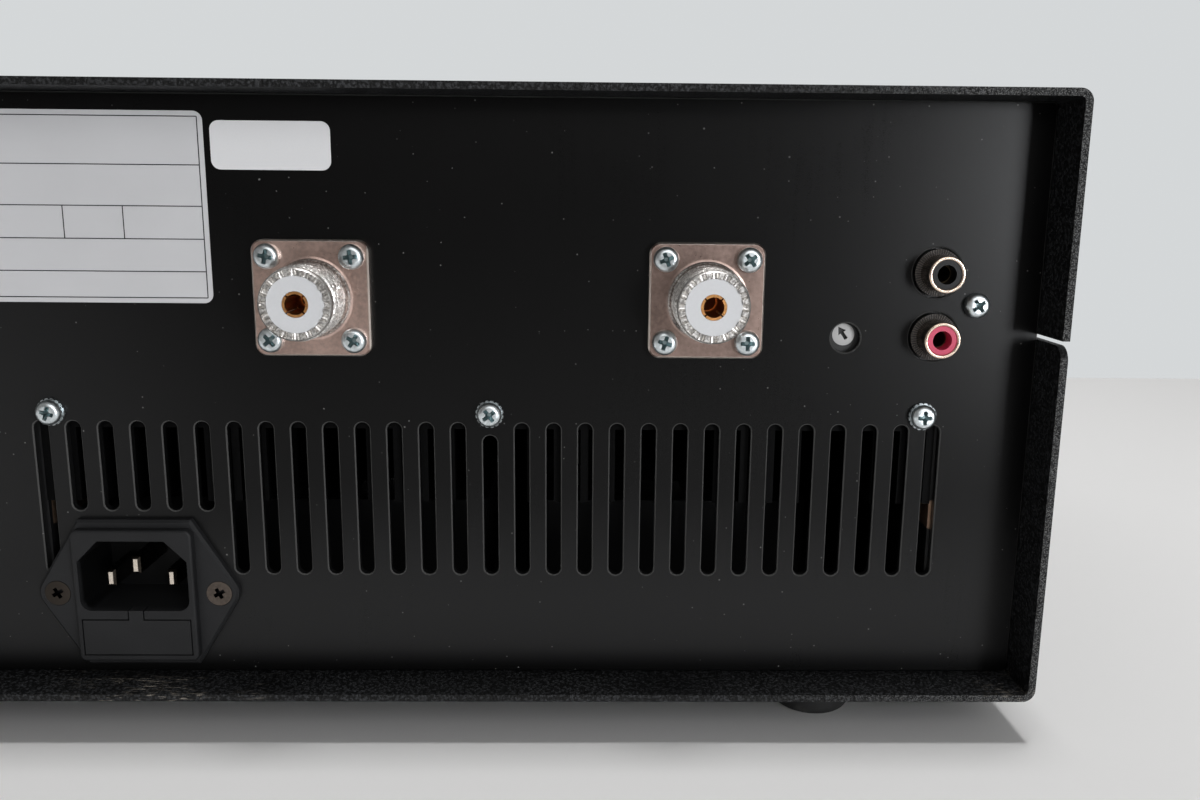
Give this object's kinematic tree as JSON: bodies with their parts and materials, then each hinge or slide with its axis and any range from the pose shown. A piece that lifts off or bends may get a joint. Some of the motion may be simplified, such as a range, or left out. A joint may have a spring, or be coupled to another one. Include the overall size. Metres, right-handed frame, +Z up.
{
  "type": "hf linear amplifier",
  "caption": "Desk-top HF linear amplifier in a folded black case: RF, phono and mains sockets in a recessed rear panel; meters, band knob, rocker and buttons in front.",
  "frame": {"origin": "on the bench, below the middle of the whole object", "axes": "+Z up, controls face -Y, connectors face +Y"},
  "size_m": [0.328, 0.3296, 0.1455],
  "materials": {
    "cover_paint": "fine textured black powder coat",
    "panel_paint": "satin black",
    "fascia_paint": "matt black",
    "rail_steel": "zinc plated",
    "foot_rubber": "matt",
    "zinc_screw": "bright zinc",
    "black_screw": "black oxide",
    "nickel": "bright nickel plate",
    "ptfe": "white",
    "gold_contact": "gold plated",
    "phono_plastic": "black",
    "insert_black": "black",
    "insert_red": "red",
    "trimmer_body_plastic": "blue",
    "trimmer_rotor_plastic": "light grey",
    "inlet_plastic": "black, lightly moulded",
    "drawer_plastic": "black",
    "blade_metal": "nickel plated brass",
    "bronze_screw": "bronzed",
    "fuse_glass": "clear with metal caps",
    "label_silver": "silver film with thin black rules",
    "label_white": "white paper film",
    "heatsink_black": "black anodised",
    "bracket_plate": "yellow passivated",
    "board_green": "green solder mask",
    "transistor_ceramic": "plated flange and lid",
    "ferrite": "dark ferrite",
    "toroid_paint": "red powdered iron",
    "relay_plastic": "blue",
    "post_brass": "plated",
    "winding_tape": "yellow tape",
    "capacitor_sleeve": "black sleeve",
    "bridge_plastic": "black epoxy",
    "fan_plastic": "black",
    "meter_plastic": "black",
    "dial_card": "cream card with plain numbers",
    "meter_window": "clear acrylic",
    "needle_paint": "black paint",
    "switch_metal": "plated",
    "knob_plastic": "black with white line",
    "rocker_plastic": "black",
    "rocker_red": "red",
    "button_plastic": "dark grey",
    "lamp_plastic": "tinted lens"
  },
  "bodies": {
    "case": {"top_cover": "cover_paint", "bottom_cover": "cover_paint", "rear_panel": "panel_paint", "front_panel": "panel_paint", "front_fascia": "fascia_paint", "side_rails": "rail_steel", "feet": "foot_rubber", "foot_screws": "zinc_screw", "cover_screws": "black_screw", "socket_shells": "nickel", "socket_insulators": "ptfe", "socket_contacts": "gold_contact", "panel_screws": "zinc_screw", "phono_block": "phono_plastic", "phono_shells": "nickel", "phono_insert_black": "insert_black", "phono_insert_red": "insert_red", "phono_contacts": "gold_contact", "trimmer_body": "trimmer_body_plastic", "inlet_housing": "inlet_plastic", "inlet_pins": "blade_metal", "inlet_screws": "bronze_screw", "grille_screws": "zinc_screw", "lock_washers": "zinc_screw", "rating_label": "label_silver", "blank_label": "label_white", "heatsink": "heatsink_black", "heatsink_brackets": "bracket_plate", "rf_board": "board_green", "rf_transistors": "transistor_ceramic", "rf_transformers": "ferrite", "filter_board": "board_green", "filter_toroids": "toroid_paint", "relays": "relay_plastic", "board_posts": "post_brass", "supply_board": "board_green", "mains_transformer": "winding_tape", "bulk_capacitors": "capacitor_sleeve", "rectifier": "bridge_plastic", "fan_frames": "fan_plastic", "meter_cases": "meter_plastic", "meter_dials": "dial_card", "meter_lenses": "meter_window", "band_switch": "switch_metal", "rocker_frame": "rocker_plastic", "indicator_lamps": "lamp_plastic", "control_board": "board_green"},
    "fuse_tray": {"fuse_drawer": "drawer_plastic", "fuses": "fuse_glass"},
    "level_trimmer": {"trimmer_rotor": "trimmer_rotor_plastic"},
    "fan_a": {"fan_rotor_a": "fan_plastic"},
    "fan_b": {"fan_rotor_b": "fan_plastic"},
    "power_pointer": {"power_needle": "needle_paint"},
    "swr_pointer": {"swr_needle": "needle_paint"},
    "band_selector": {"band_knob": "knob_plastic", "band_shaft": "switch_metal"},
    "power_switch": {"power_rocker": "rocker_red"},
    "button_1": {"button_1": "button_plastic"},
    "button_2": {"button_2": "button_plastic"},
    "button_3": {"button_3": "button_plastic"}
  },
  "joints": [
    {"name": "fuse_tray_slide", "type": "slide", "parent": "case", "child": "fuse_tray", "axis": [0, 1, 0], "range_m": [0, 0.014]},
    {"name": "level_trimmer_turn", "type": "hinge", "parent": "case", "child": "level_trimmer", "pos_m": [-0.1171, 0.14935, 0.0929], "axis": [0, 1, 0], "range_deg": [-100, 170]},
    {"name": "fan_a_spin", "type": "hinge", "parent": "case", "child": "fan_a", "pos_m": [-0.0834, 0.05235, 0.0121], "axis": [0, 0, 1], "continuous": true},
    {"name": "fan_b_spin", "type": "hinge", "parent": "case", "child": "fan_b", "pos_m": [0.0086, 0.05235, 0.0121], "axis": [0, 0, 1], "continuous": true},
    {"name": "power_pointer_swing", "type": "hinge", "parent": "case", "child": "power_pointer", "pos_m": [-0.104, -0.14205, 0.0845], "axis": [0, 1, 0], "range_deg": [0, 90], "stiffness_Nm_per_rad": 0.0004, "springref_deg": -20.05},
    {"name": "swr_pointer_swing", "type": "hinge", "parent": "case", "child": "swr_pointer", "pos_m": [-0.016, -0.14205, 0.0845], "axis": [0, 1, 0], "range_deg": [0, 90], "stiffness_Nm_per_rad": 0.0004, "springref_deg": -20.05},
    {"name": "band_selector_turn", "type": "hinge", "parent": "case", "child": "band_selector", "pos_m": [0.098, -0.14385, 0.0985], "axis": [0, 1, 0], "range_deg": [0, 150]},
    {"name": "power_switch_rock", "type": "hinge", "parent": "case", "child": "power_switch", "pos_m": [0.126, -0.13985, 0.0445], "axis": [-1, 0, 0], "range_deg": [0, 16]},
    {"name": "button_1_press", "type": "slide", "parent": "case", "child": "button_1", "axis": [0, 1, 0], "range_m": [0, 0.0025], "stiffness_N_per_m": 300, "springref_m": -0.002},
    {"name": "button_2_press", "type": "slide", "parent": "case", "child": "button_2", "axis": [0, 1, 0], "range_m": [0, 0.0025], "stiffness_N_per_m": 300, "springref_m": -0.002},
    {"name": "button_3_press", "type": "slide", "parent": "case", "child": "button_3", "axis": [0, 1, 0], "range_m": [0, 0.0025], "stiffness_N_per_m": 300, "springref_m": -0.002}
  ]
}
